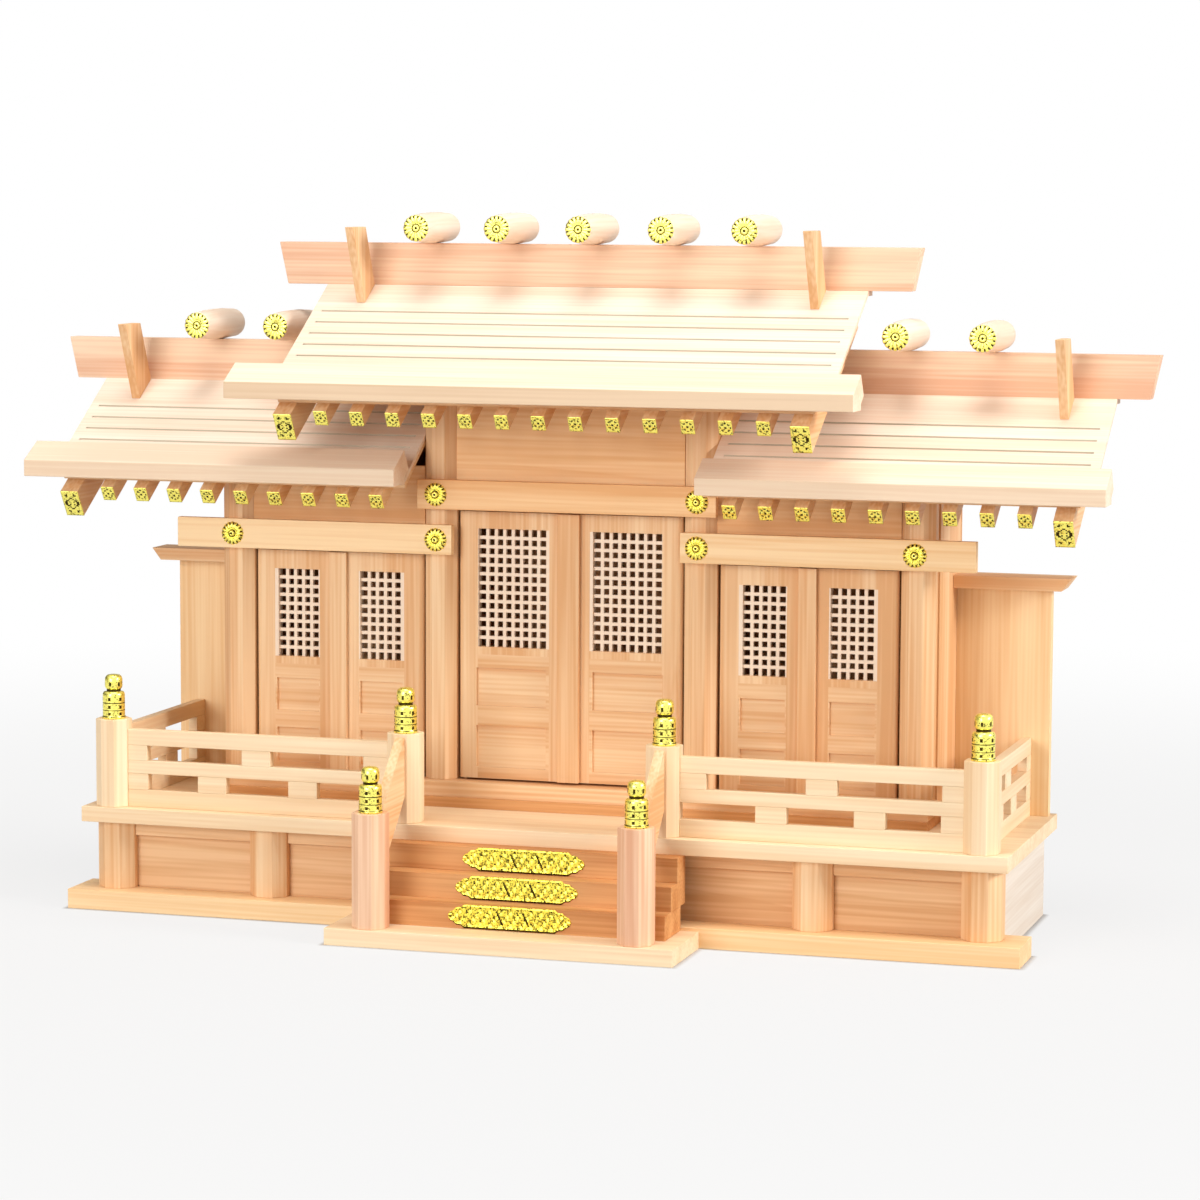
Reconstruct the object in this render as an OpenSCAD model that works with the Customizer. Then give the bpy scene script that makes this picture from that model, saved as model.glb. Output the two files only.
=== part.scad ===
// Household shrine with three rooms, stepped gable roofs, a veranda and a short stair.
// Front is -Y, up is +Z, and X = 0 is the plane of symmetry.
// The origin lies on the ground in the middle of the whole width and depth.

/* [Base] */
// Half length of the front sill
sill_half = 253.6; // [250:0.2:262]
// Height of the front and rear sills
sill_h = 10.3; // [8:0.1:13]
// Front face of the front sill
sill_front_y = -53; // [-54.6:0.2:-52]
// Depth of each sill
sill_d = 32; // [26:0.5:36]
// Centre of the outer base posts, as used by the rail posts above them
corner_x = 231.6; // [229:0.2:232]
// Centre of the inner base posts
base_inner_x = 145.7; // [130:0.2:160]
// Width of a base post across flats
base_post_w = 20.5; // [18:0.5:22]
// Centre line of the base posts
base_post_y = -34.7; // [-36:0.1:-33.5]
// Thickness of the base panels
panel_t = 4; // [3:0.5:5]

/* [Veranda] */
// Half length of the veranda floor
floor_half = 246.5; // [244:0.5:250]
// Underside of the veranda floor
floor_z = 46.3; // [44:0.1:50]
// Thickness of the veranda floor
floor_t = 8; // [6:0.5:9]
// Front edge of the veranda floor
floor_front_y = -50.2; // [-51.6:0.2:-49.4]
// Width of a rail post across flats
rail_post_w = 17.5; // [16:0.5:18]
// Height of a rail post
rail_post_h = 46.2; // [44:0.2:50]
// Centre of the posts beside the stair
stair_post_x = 69; // [67:0.5:71]
// Thickness of the rails
rail_t = 5; // [4:0.5:6]
// Height of the bottom rail
rail_low_h = 9.2; // [8:0.2:10]
// Underside of the middle rail above the floor
rail_mid_z = 17.7; // [16:0.1:19]
// Height of the middle rail
rail_mid_h = 7; // [6:0.2:8]
// Underside of the top rail above the floor
rail_top_z = 32.7; // [31:0.1:34]
// Height of the top rail
rail_top_h = 8.3; // [7:0.1:9.5]
// Width of the blocks between the rails
rail_block_w = 16; // [14:0.5:18]
// Outer edge of the side screens
wing_end = 243.6; // [240:0.2:246]
// Top of the side screens
wing_top = 173.4; // [168:0.2:178]
// Thickness of the side screens
wing_t = 6; // [5:0.5:8]

/* [Stair] */
// Half width of the plate in front of the stair
plate_half = 91; // [88:0.5:96]
// Front edge of the plate
plate_front_y = -102.2; // [-104.6:0.2:-102]
// Thickness of the plate
plate_h = 8.6; // [7:0.1:9.5]
// Half width of the steps
step_half = 81.5; // [80:0.5:86]
// Tread of one step
step_run = 11.4; // [10:0.2:11.6]
// Height of the newels above the plate
newel_h = 58.4; // [54:0.2:62]
// Height of the sloping handrails, measured upright
handrail_h = 31; // [28:0.5:34]

/* [Cabinet] */
// Front face of the tie beams
front_y = 10.8; // [9.6:0.2:12.2]
// Outer face of the back wall
back_y = 87.8; // [86:0.2:91]
// Centre of the main posts
main_x = 70.8; // [70:0.1:72]
// Centre of the outer posts
outer_x = 185; // [183:0.1:187]
// Width of a cabinet post across flats
post_w = 17.6; // [16:0.1:18]
// Thickness of the tie beams
beam_t = 4.5; // [4:0.1:5]
// Thickness of walls and ceilings
wall_t = 4; // [3:0.5:5]
// Thickness of the board under the cabinet
deck_h = 5.5; // [4:0.1:6]
// Height of the threshold under the doors
threshold_h = 7.7; // [6:0.1:9]
// Underside of the centre tie beam
center_beam_z = 211; // [209:0.2:213]
// Underside of the side tie beams
side_beam_z = 187.2; // [185:0.2:189]
// Height of the tie beams
beam_h = 15.6; // [14:0.1:17]
// Half length of the centre tie beam
center_beam_half = 81; // [80:0.2:84]
// Outer end of the side tie beams
side_beam_end = 216.5; // [212:0.5:220]

/* [Doors] */
// Thickness of a door leaf
leaf_t = 6; // [5:0.5:7]
// Play around a door leaf
leaf_gap = 1.2; // [1:0.1:1.4]
// Width of the frame beside the meeting edge of a centre leaf
center_stile_w = 12.3; // [9:0.1:14]
// Width of the frame beside the meeting edge of a side leaf
side_stile_w = 11.3; // [9:0.1:13]
// Width of the strip that covers the meeting edges of the centre doors
center_strip_w = 12; // [10:0.5:13]
// Width of the strip that covers the meeting edges of the side doors
side_strip_w = 9.6; // [8:0.2:11]
// Thickness of the strip
strip_t = 2.4; // [2:0.1:2.8]
// Radius of the pins that a leaf turns on
pin_r = 0.9; // [0.8:0.1:1.2]
// Length of a pin outside its leaf
pin_l = 4.4; // [3.8:0.1:5]

/* [Roofs] */
// Half width of the centre roof boards
center_roof_half = 148.6; // [146:0.2:150]
// Outer edge of the side roof boards
side_roof_end = 278.4; // [276:0.2:280]
// Front face of the ridge boards
ridge_y = 58.8; // [57.6:0.2:60.4]
// Thickness of the ridge boards
ridge_t = 9.5; // [8:0.5:11]
// Top of the centre slope, where it meets the ridge board
center_top_z = 326.4; // [324:0.2:330]
// Top of the side slopes, where they meet the ridge board
side_top_z = 273.4; // [271:0.2:276]
// Front ends of the centre rafters
center_tip_y = -35.7; // [-37:0.1:-34.5]
// Front ends of the side rafters
side_tip_y = -16.2; // [-17.6:0.1:-15.2]
// Top of the centre rafters at their front ends
center_tip_z = 264.7; // [263:0.1:266]
// Top of the side rafters at their front ends
side_tip_z = 220; // [219:0.1:221]
// Back edge of the roofs
roof_back_y = 102.2; // [101:0.2:103.4]
// Height of the ridge boards
ridge_h = 22.4; // [20:0.2:24]
// Distance between two grooves, seen from above
groove_pitch = 7.9; // [7:0.1:9]
// Half length of the centre ridge board at its top
center_ridge_half = 176.2; // [170:0.2:180]
// Outer end of the side ridge boards at their top
side_ridge_end = 300; // [292:0.5:304]
// How far the ends of the ridge boards lean outwards
ridge_lean = 4.8; // [4:0.2:6]
// Half length of the centre eave board
center_eave_half = 165.8; // [160:0.2:168]
// Outer end of the side eave boards
side_eave_end = 287.6; // [284:0.2:290]
// How far the roof boards reach over the decks under them
board_lip = 6; // [5:0.5:7]
// How far the rafters stand out in front of the decks, seen from above
rafter_out = 5.2; // [4:0.2:6]
// How far the back slopes stop short of the front slopes at each end
back_step = 24; // [22:1:30]
// Thickness of the roof decks
deck_t = 3; // [2.6:0.1:3.4]
// Thickness of the roof boards
board_t = 2.6; // [2.4:0.1:3]

/* [Hidden] */
tiny = 0.3;
floor_top = floor_z + floor_t;
deck_top = floor_top + deck_h;
threshold_top = deck_top + threshold_h;
rail_post_y = floor_front_y + 0.75 + rail_post_w / 2;
rail_front_y = rail_post_y - rail_t / 2;
newel_y = plate_front_y + 1.4 + rail_post_w / 2;
step_rise = (floor_z - plate_h) / 3;
post_y = front_y + beam_t + post_w / 2;
leaf_y = post_y - 4.6;
leaf_z = threshold_top + leaf_gap;
pin_play = 0.05;
center_opening = main_x - post_w / 2;
side_lo = main_x + post_w / 2;
side_hi = outer_x - post_w / 2;
side_mid = (side_lo + side_hi) / 2;
center_leaf_w = center_opening - leaf_gap - 0.4;
side_leaf_w = (side_hi - side_lo) / 2 - leaf_gap - 0.4;
center_leaf_h = center_beam_z - leaf_gap - leaf_z;
side_leaf_h = side_beam_z - leaf_gap - leaf_z;
side_wall_x = outer_x + post_w / 2;
inner_wall_x = main_x + post_w / 2 - wall_t;
wing_y = front_y + 66;
layers = deck_t + board_t;
side_panel_x = corner_x + 4.4;
center_slope = (center_top_z - layers - center_tip_z) / (ridge_y - center_tip_y);
side_slope = (side_top_z - layers - side_tip_z) / (ridge_y - side_tip_y);
side_roof_in = main_x + post_w / 2 + tiny;
rafter_w = 7;
rafter_h = 8.4;
verge_w = 9.8;
verge_h = 15.7;
verge_out = 4;
center_out = 1;
center_rafters = [for (i = [-6 : 6]) i * 19.55];
side_rafters = [for (i = [0 : 8]) 94.6 + i * 18.85];
center_verge_x = center_roof_half - 11.8;
side_verge_x = side_roof_end - 13;
center_chigi_in = 52.2;
side_chigi_in = 45.8;
center_chigi_x = center_ridge_half - center_chigi_in;
side_chigi_x = side_ridge_end - side_chigi_in;
center_log_clear = 34.8;
side_log_clear = 40.4;
side_log_step = 45;
center_log_step = (center_chigi_x - center_log_clear) / 2;
center_logs = [for (i = [-2 : 2]) i * center_log_step];
side_logs = [for (i = [1, 0]) side_chigi_x - side_log_clear - i * side_log_step];
wing_cap_d = 20;
wing_cap_out = 11.8;
wing_cap_h = 6.6;
wing_cap_flare = 5;
wing_cap_lap = 3;
first_block_w = 13.7;
side_block_w = 11;
last_block_w = 11.5;
log_r = 8.2;
log_end_r = 7;
log_half = 31;
log_back = 19;
ridge_back = ridge_y + ridge_t;
ridge_mid = ridge_y + ridge_t / 2;

// Shared shapes

// A box given by its low and high corners
module block(lo, hi) {
    translate(lo) cube(hi - lo);
}

// Both mirror images of a piece
module pair() {
    children();
    mirror([1, 0, 0]) children();
}

// An upright octagonal post, w across its flats
module octagon(w, h) {
    rotate([0, 0, 22.5]) cylinder(h = h, d = w / cos(22.5), $fn = 8);
}

// A section drawn in Y and Z, extruded along X from x0 to x1
module along_x(x0, x1) {
    translate([x0, 0, 0]) rotate([90, 0, 90]) linear_extrude(x1 - x0) children();
}

// Height of a sloping plane that passes z0 at y0
function plane(y, y0, z0, slope) = z0 + (y - y0) * slope;
// Top of the rafters at y, flat under the ridge board and mirrored behind it
function rafter_top(y, tip_y, tip_z, slope) =
    y <= ridge_y ? plane(y, tip_y, tip_z, slope)
    : y < ridge_back ? plane(ridge_y, tip_y, tip_z, slope)
    : plane(ridge_y + ridge_back - y, tip_y, tip_z, slope);
function center_rafter_top(y) = rafter_top(y, center_tip_y, center_tip_z, center_slope);
function side_rafter_top(y) = rafter_top(y, side_tip_y, side_tip_z, side_slope);

// Base

module front_sill() {
    color("burlywood") block([-sill_half, sill_front_y, 0], [sill_half, sill_front_y + sill_d, sill_h]);
}

module rear_sill() {
    color("burlywood") block([-side_panel_x, back_y - sill_d, 0], [side_panel_x, back_y, sill_h]);
}

module base_posts() {
    color("burlywood") for (x = [-corner_x, -base_inner_x, base_inner_x, corner_x])
        translate([x, base_post_y, sill_h]) octagon(base_post_w, floor_z - sill_h);
}

module base_bay(x0, x1) {
    y = base_post_y;
    block([x0, y, sill_h], [x1, y + panel_t, floor_z]);
    block([x0, y - 3, floor_z - 8], [x1, y, floor_z]);
}

module base_front() {
    r = base_post_w / 2;
    color("burlywood") {
        base_bay(-base_inner_x + r, base_inner_x - r);
        pair() base_bay(base_inner_x + r, corner_x - r);
    }
}

// The side panels stand on the ground behind the front sill
module base_sides() {
    x = side_panel_x;
    color("burlywood") pair() {
        block([x, base_post_y + base_post_w / 2, sill_h], [x + panel_t, back_y, floor_z]);
        block([x, sill_front_y + sill_d, 0], [x + panel_t, back_y, sill_h + tiny]);
    }
}

module base_back() {
    color("burlywood") block([-side_panel_x, back_y - panel_t, sill_h], [side_panel_x, back_y, floor_z]);
}

// Veranda

module veranda_floor() {
    color("wheat") block([-floor_half, floor_front_y, floor_z], [floor_half, back_y, floor_top]);
}

module stair_plate() {
    color("wheat") block([-plate_half, plate_front_y, 0], [plate_half, sill_front_y, plate_h]);
}

module step(i) {
    front = sill_front_y - 29 + i * step_run;
    back = i == 0 ? sill_front_y : base_post_y - base_post_w / 2;
    z = plate_h + i * step_rise;
    color("wheat") block([-step_half, front, z], [step_half, back, z + step_rise]);
}

module step_lower() { step(0); }
module step_middle() { step(1); }
module step_upper() { step(2); }

// Outline of the pressed plate on each riser
module leaf_outline() {
    for (m = [0, 1]) mirror([m, 0])
        polygon([[0, 6], [24, 6], [25.4, 4.6], [28, 4.4], [29.6, 2.8], [31.6, 2], [32.3, 0],
                 [31.6, -2], [29.6, -2.8], [28, -4.4], [25.4, -4.6], [24, -6], [0, -6]]);
}

module stair_ornaments() {
    color("gold") for (i = [0 : 2])
        translate([0.6, sill_front_y - 29 + i * step_run, plate_h + (i + 0.5) * step_rise + 0.1])
            rotate([90, 0, 0]) linear_extrude(0.6) leaf_outline();
}

module newel_posts() {
    color("wheat") pair() translate([stair_post_x + 0.5, newel_y, plate_h]) octagon(rail_post_w, newel_h);
}

// Sloping boards from just under the tops of the newels to just under the tops of the rail posts
module handrails() {
    y0 = newel_y + rail_post_w / 2;
    y1 = rail_post_y - rail_post_w / 2;
    z0 = plate_h + newel_h - 1.4;
    z1 = floor_top + rail_post_h - 1.4;
    color("wheat") pair() along_x(stair_post_x - rail_t / 2, stair_post_x + rail_t / 2)
        polygon([[y0, z0 - handrail_h], [y1, z1 - handrail_h], [y1, z1], [y0, z0]]);
}

module rail_posts() {
    color("wheat") for (x = [-corner_x, -stair_post_x, stair_post_x, corner_x])
        translate([x, rail_post_y, floor_top]) octagon(rail_post_w, rail_post_h);
}

// Turned metal cap: sleeve, neck and knob
module post_cap() {
    rotate_extrude($fn = 32) polygon([[0, 0], [6.1, 0], [6.1, 1], [5.8, 1.3], [5.8, 13.2], [5.2, 14],
        [3.8, 14.3], [3.8, 15.6], [4.3, 16], [4.6, 17.2], [4.6, 20.6], [4.2, 22], [3.2, 22.9],
        [1.6, 23.2], [0, 23.2]]);
}

module post_caps() {
    color("gold") {
        for (x = [-corner_x, -stair_post_x, stair_post_x, corner_x])
            translate([x, rail_post_y, floor_top + rail_post_h]) post_cap();
        pair() translate([stair_post_x + 0.5, newel_y, plate_h + newel_h]) post_cap();
    }
}

// The three rails of one side, seen from their front, from x = 0
module rail_bars(length) {
    linear_extrude(rail_t) {
        square([length, rail_low_h]);
        translate([0, rail_mid_z]) square([length, rail_mid_h]);
        translate([0, rail_top_z]) square([length, rail_top_h]);
    }
}

// Blocks between the rails, given by their two ends
module rail_row(upper, lower) {
    linear_extrude(rail_t) {
        z_mid = rail_mid_z + rail_mid_h;
        for (b = upper) translate([b[0], z_mid]) square([b[1] - b[0], rail_top_z - z_mid]);
        for (b = lower) translate([b[0], rail_low_h]) square([b[1] - b[0], rail_mid_z - rail_low_h]);
    }
}

front_rail_w = corner_x - stair_post_x - rail_post_w;
side_rail_w = wing_y - rail_post_y - rail_post_w / 2;

// Places a rail that is drawn from its left end at the front or at the right side
module at_front() {
    pair() translate([stair_post_x + rail_post_w / 2, rail_front_y + rail_t, floor_top])
        rotate([90, 0, 0]) children();
}
module at_side() {
    pair() translate([corner_x - rail_t / 2, rail_post_y + rail_post_w / 2, floor_top])
        rotate([90, 0, 90]) children();
}

module front_rails() {
    color("wheat") at_front() rail_bars(front_rail_w);
}

module side_rails() {
    color("wheat") at_side() rail_bars(side_rail_w);
}

module rail_blocks() {
    w = front_rail_w;
    d = side_rail_w;
    b = rail_block_w;
    color("wheat") {
        at_front() rail_row([[0, first_block_w], [w * 0.503 - b / 2, w * 0.503 + b / 2], [w - side_block_w, w]],
            [[w * 0.325 - b / 2, w * 0.325 + b / 2], [w * 0.673 - b / 2, w * 0.673 + b / 2],
             [w - last_block_w, w]]);
        at_side() rail_row([[0, side_block_w], [d * 0.423 - b / 2, d * 0.423 + b / 2],
                            [d - last_block_w, d]],
            [[0, 6], [d * 0.24 - b / 2, d * 0.24 + b / 2], [d * 0.572 - b / 2, d * 0.572 + b / 2],
             [d - last_block_w, d]]);
    }
}

// Side screens

module wings() {
    color("wheat") pair() block([side_wall_x, wing_y, floor_top], [wing_end, wing_y + wing_t, wing_top]);
}

module wing_caps() {
    color("wheat") pair() translate([0, wing_y + wing_t + wing_cap_lap, 0]) rotate([90, 0, 0])
        linear_extrude(wing_cap_d)
        polygon([[side_wall_x, wing_top], [wing_end + wing_cap_out - wing_cap_flare, wing_top],
                 [wing_end + wing_cap_out, wing_top + wing_cap_h], [side_wall_x, wing_top + wing_cap_h]]);
}

// Cabinet

module cabinet_deck() {
    color("wheat") block([-side_wall_x, front_y - 4, floor_top], [side_wall_x, back_y, deck_top]);
}

// Holes for the pins of all six leaves, d deep from the level z towards +Z
module center_pin_holes(z, d) {
    for (s = [-1, 1]) pin_hole(s * (center_opening - leaf_gap), s, z, d);
}

module side_pin_holes(z, d) {
    for (s = [-1, 1]) {
        pin_hole(s * (side_hi - leaf_gap), s, z, d);
        pin_hole(s * (side_lo + leaf_gap), -s, z, d);
    }
}

// A hole under the hinge edge at x, where s is the side that the edge faces.
// Leaves that face +X stand a little further back, clear of the strip.
module pin_hole(x, s, z, d) {
    translate([x - s * leaf_t / 2, leaf_y + leaf_t / 2 + (s > 0 ? tiny : 0), z])
        cylinder(h = d, r = pin_r + pin_play, $fn = 32);
}

module threshold() {
    color("wheat") difference() {
        block([-side_wall_x, front_y - 1.5, deck_top], [side_wall_x, post_y + post_w / 2, threshold_top]);
        center_pin_holes(leaf_z - pin_l - 0.3, 10);
        side_pin_holes(leaf_z - pin_l - 0.3, 10);
    }
}

module main_posts() {
    top = center_rafter_top(front_y + beam_t) - rafter_h / cos(atan(center_slope));
    color("wheat") pair() translate([main_x, post_y, threshold_top]) octagon(post_w, top - threshold_top);
}

module outer_posts() {
    top = side_rafter_top(front_y + beam_t) - rafter_h / cos(atan(side_slope));
    color("wheat") pair() translate([outer_x, post_y, threshold_top]) octagon(post_w, top - threshold_top);
}

module side_walls() {
    y0 = post_y + post_w / 2;
    y1 = back_y - wall_t;
    color("wheat") pair() along_x(side_wall_x - wall_t, side_wall_x)
        polygon([[y0, deck_top], [y1, deck_top], [y1, side_rafter_top(y1)],
                 [ridge_back, side_rafter_top(ridge_back)], [ridge_y, side_rafter_top(ridge_y)],
                 [y0, side_rafter_top(y0)]]);
}

module inner_walls() {
    y0 = post_y + post_w / 2;
    y1 = back_y - wall_t;
    color("wheat") pair() along_x(inner_wall_x, inner_wall_x + wall_t)
        polygon([[y0, deck_top], [y1, deck_top], [y1, center_rafter_top(y1)],
                 [ridge_back, center_rafter_top(ridge_back)], [ridge_y, center_rafter_top(ridge_y)],
                 [y0, center_rafter_top(y0)]]);
}

module back_wall() {
    z_side = side_rafter_top(back_y);
    z_center = center_rafter_top(back_y);
    color("wheat") {
        block([-side_wall_x, back_y - wall_t, deck_top], [side_wall_x, back_y, z_side]);
        block([-inner_wall_x - wall_t, back_y - wall_t, z_side], [inner_wall_x + wall_t, back_y, z_center]);
    }
}

module ceilings() {
    y0 = post_y + post_w / 2;
    y1 = back_y - wall_t;
    color("wheat") {
        block([-inner_wall_x, y0, center_beam_z + 2], [inner_wall_x, y1, center_beam_z + 2 + wall_t]);
        pair() block([inner_wall_x + wall_t, y0, side_beam_z + 2],
                     [side_wall_x - wall_t, y1, side_beam_z + 2 + wall_t]);
    }
}

// Boards that close the front between the posts, above the leaves that hang in them
module upper_walls() {
    r = post_w / 2;
    y1 = leaf_y + leaf_t;
    top_c = center_rafter_top(leaf_y) - rafter_h / cos(atan(center_slope));
    top_s = side_rafter_top(leaf_y) - rafter_h / cos(atan(side_slope));
    color("wheat") difference() {
        union() {
            block([-main_x + r, leaf_y, center_beam_z], [main_x - r, y1, top_c]);
            pair() block([main_x + r, leaf_y, side_beam_z], [outer_x - r, y1, top_s]);
        }
        center_pin_holes(center_beam_z - 1, 1 + pin_l - leaf_gap + 0.3);
        side_pin_holes(side_beam_z - 1, 1 + pin_l - leaf_gap + 0.3);
    }
}

module center_beam() {
    color("wheat") block([-center_beam_half, front_y, center_beam_z],
          [center_beam_half, front_y + beam_t, center_beam_z + beam_h]);
}

module side_beams() {
    color("wheat") pair()
        block([main_x - post_w / 2, front_y, side_beam_z], [side_beam_end, front_y + beam_t, side_beam_z + beam_h]);
}

// Round stamped nail covers
module rosette() {
    rotate([90, 0, 0]) {
        cylinder(h = 1.2, r = 6.2, $fn = 40);
        translate([0, 0, 1.2]) cylinder(h = 0.8, r1 = 5.4, r2 = 4.2, $fn = 40);
    }
}

module rosettes() {
    color("gold") {
        pair() translate([main_x, front_y, center_beam_z + beam_h / 2]) rosette();
        pair() translate([main_x, front_y, side_beam_z + beam_h / 2]) rosette();
        pair() translate([outer_x, front_y, side_beam_z + beam_h / 2]) rosette();
    }
}

// Roofs

// Rafter with a square cut front end
module rafter(x, w, h, tip_y, tip_z, slope, end_y) {
    a = atan(slope);
    translate([x - w / 2, tip_y, tip_z]) rotate([a, 0, 0])
        translate([0, 0, -h]) cube([w, (end_y - tip_y) / cos(a), h]);
}

module center_rafters() {
    color("wheat") {
        for (x = center_rafters)
            rafter(x, rafter_w, rafter_h, center_tip_y - center_out, center_rafter_top(center_tip_y - center_out),
                   center_slope, post_y - 2.5);
        for (x = [-center_verge_x, center_verge_x])
            rafter(x, verge_w, verge_h, center_tip_y - verge_out, center_rafter_top(center_tip_y - verge_out),
                   center_slope, ridge_y);
    }
}

module side_rafters() {
    color("wheat") pair() {
        for (x = side_rafters)
            rafter(x, rafter_w, rafter_h, side_tip_y, side_tip_z, side_slope, post_y - 2.5);
        rafter(side_verge_x, verge_w, verge_h, side_tip_y - verge_out, side_rafter_top(side_tip_y - verge_out),
               side_slope, ridge_y);
    }
}

// Section of a roof layer between two heights above the rafters, along a list of places in y
module layer_section(ys, z0, z1, tip_y, tip_z, slope) {
    n = len(ys) - 1;
    function top(y) = rafter_top(y, tip_y, tip_z, slope);
    polygon(concat([for (i = [0 : n]) [ys[i], top(ys[i]) + z0]],
                   [for (i = [n : -1 : 0]) [ys[i], top(ys[i]) + z1]]));
}

// A roof layer from x0 to x1 in front and from back_x0 to back_x1 behind the ridge
module layer(x0, x1, back_x0, back_x1, z0, z1, tip_y, tip_z, slope) {
    along_x(x0, x1)
        layer_section([tip_y + rafter_out, ridge_y, ridge_back], z0, z1, tip_y, tip_z, slope);
    along_x(back_x0, back_x1)
        layer_section([ridge_back, roof_back_y], z0, z1, tip_y, tip_z, slope);
}

module center_roof_deck() {
    x = center_roof_half - board_lip;
    color("wheat") layer(-x, x, back_step - x, x - back_step, 0, deck_t, center_tip_y, center_tip_z, center_slope);
}

module side_roof_decks() {
    x = side_roof_end - board_lip;
    color("wheat") pair()
        layer(side_roof_in, x, side_roof_in, x - back_step, 0, deck_t, side_tip_y, side_tip_z, side_slope);
}

// Saw cuts that run along a slope, in the plane of the roof boards
module grooves(x0, x1, tip_y, tip_z, slope) {
    first = ridge_y - 18.3;
    count = floor((first - tip_y - 2 * rafter_out) / groove_pitch);
    for (i = [0 : count]) {
        y = first - i * groove_pitch;
        z = rafter_top(y, tip_y, tip_z, slope) + layers;
        along_x(x0 + 5, x1 - 5)
            polygon([[y - 0.55, z - 2], [y + 0.55, z - 1.4], [y + 0.55, z + 2], [y - 0.55, z + 2]]);
    }
}

module center_roof_boards() {
    x = center_roof_half;
    color("cornsilk") difference() {
        layer(-x, x, back_step - x, x - back_step, deck_t, layers, center_tip_y, center_tip_z, center_slope);
        grooves(-center_roof_half, center_roof_half, center_tip_y, center_tip_z, center_slope);
    }
}

module side_roof_boards() {
    x = side_roof_end;
    color("cornsilk") pair() difference() {
        layer(side_roof_in, x, side_roof_in, x - back_step, deck_t, layers, side_tip_y, side_tip_z, side_slope);
        grooves(side_roof_in, side_roof_end, side_tip_y, side_tip_z, side_slope);
    }
}

// Heavy board along the eave, notched to hook over the front edge of the roof boards
module eave_section(tip_y, tip_z, slope) {
    function top(y) = rafter_top(y, tip_y, tip_z, slope) + layers;
    low = top(tip_y - 1) + 0.6;
    front = tip_y - 12.2;
    back = tip_y + 4.4;
    edge = tip_y + rafter_out;
    polygon([[front, low], [edge, low], [edge, top(edge)], [edge + 6, top(edge + 6)],
             [back, low + 17.8], [front, low + 8.6]]);
}

module center_eave() {
    color("cornsilk") along_x(-center_eave_half, center_eave_half) eave_section(center_tip_y, center_tip_z, center_slope);
}

module side_eaves() {
    color("cornsilk") pair() along_x(side_roof_in, side_eave_end) eave_section(side_tip_y, side_tip_z, side_slope);
}

module center_ridge() {
    z = center_top_z;
    x = center_ridge_half;
    color("wheat") translate([0, ridge_back, 0]) rotate([90, 0, 0]) linear_extrude(ridge_t)
        polygon([[ridge_lean - x, z], [x - ridge_lean, z], [x, z + ridge_h], [-x, z + ridge_h]]);
}

module side_ridges() {
    z = side_top_z;
    x = side_ridge_end;
    color("wheat") pair() translate([0, ridge_back, 0]) rotate([90, 0, 0]) linear_extrude(ridge_t)
        polygon([[side_roof_in, z], [x - ridge_lean, z], [x, z + ridge_h], [side_roof_in, z + ridge_h]]);
}

// Spindle shaped log laid across the ridge, longer in front of it, with straight ends
module ridge_log(x, z) {
    translate([x, ridge_mid, z + log_r]) rotate([90, 0, 0]) rotate_extrude($fn = 32)
        polygon([[0, -log_back], [log_r - 0.6, -log_back], [log_r, -6], [log_r, 6],
                 [log_r - 0.3, 18], [log_end_r, log_half], [0, log_half]]);
}

module ridge_logs() {
    color("wheat") {
        for (x = center_logs) ridge_log(x, center_top_z + ridge_h);
        pair() for (x = side_logs) ridge_log(x, side_top_z + ridge_h);
    }
}

// Board that stands on the front slope and leans away from the ridge board.
// The foot is cut to the slope and the head is level.
module chigi_board(x, top_z, slope) {
    lean = tan(24);
    foot = ridge_t / 2 + tiny;
    width = 15.4;
    head = 31;
    translate([0, ridge_mid, top_z]) along_x(x - 2.3, x + 2.3)
        polygon([[-foot, -tiny * slope], [-foot - width, -(tiny + width) * slope],
                 [-foot - width - (head + width * slope) * lean, head], [-foot - head * lean, head]]);
}

module chigi() {
    color("wheat") {
        pair() chigi_board(center_chigi_x, center_top_z, center_slope);
        pair() chigi_board(side_chigi_x, side_top_z, side_slope);
    }
}

// Thin sheet over the front end of a rafter
module end_cap(x, w, h, tip_y, tip_z, slope) {
    translate([x - w / 2, tip_y, tip_z]) rotate([atan(slope), 0, 0]) translate([0, -0.5, -h]) cube([w, 0.5, h]);
}

module gold_caps() {
    front = ridge_mid - log_half;
    color("gold") {
        for (x = center_rafters)
            end_cap(x, rafter_w, rafter_h, center_tip_y - center_out, center_rafter_top(center_tip_y - center_out),
                    center_slope);
        for (x = [-center_verge_x, center_verge_x])
            end_cap(x, verge_w, verge_h, center_tip_y - verge_out, center_rafter_top(center_tip_y - verge_out),
                    center_slope);
        pair() {
            for (x = side_rafters) end_cap(x, rafter_w, rafter_h, side_tip_y, side_tip_z, side_slope);
            end_cap(side_verge_x, verge_w, verge_h, side_tip_y - verge_out, side_rafter_top(side_tip_y - verge_out),
                    side_slope);
            for (x = side_logs) translate([x, front, side_top_z + ridge_h + log_r])
                rotate([90, 0, 0]) cylinder(h = 0.6, r = log_end_r, $fn = 32);
        }
        for (x = center_logs) translate([x, front, center_top_z + ridge_h + log_r])
            rotate([90, 0, 0]) cylinder(h = 0.6, r = log_end_r, $fn = 32);
    }
}

// Doors

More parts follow.
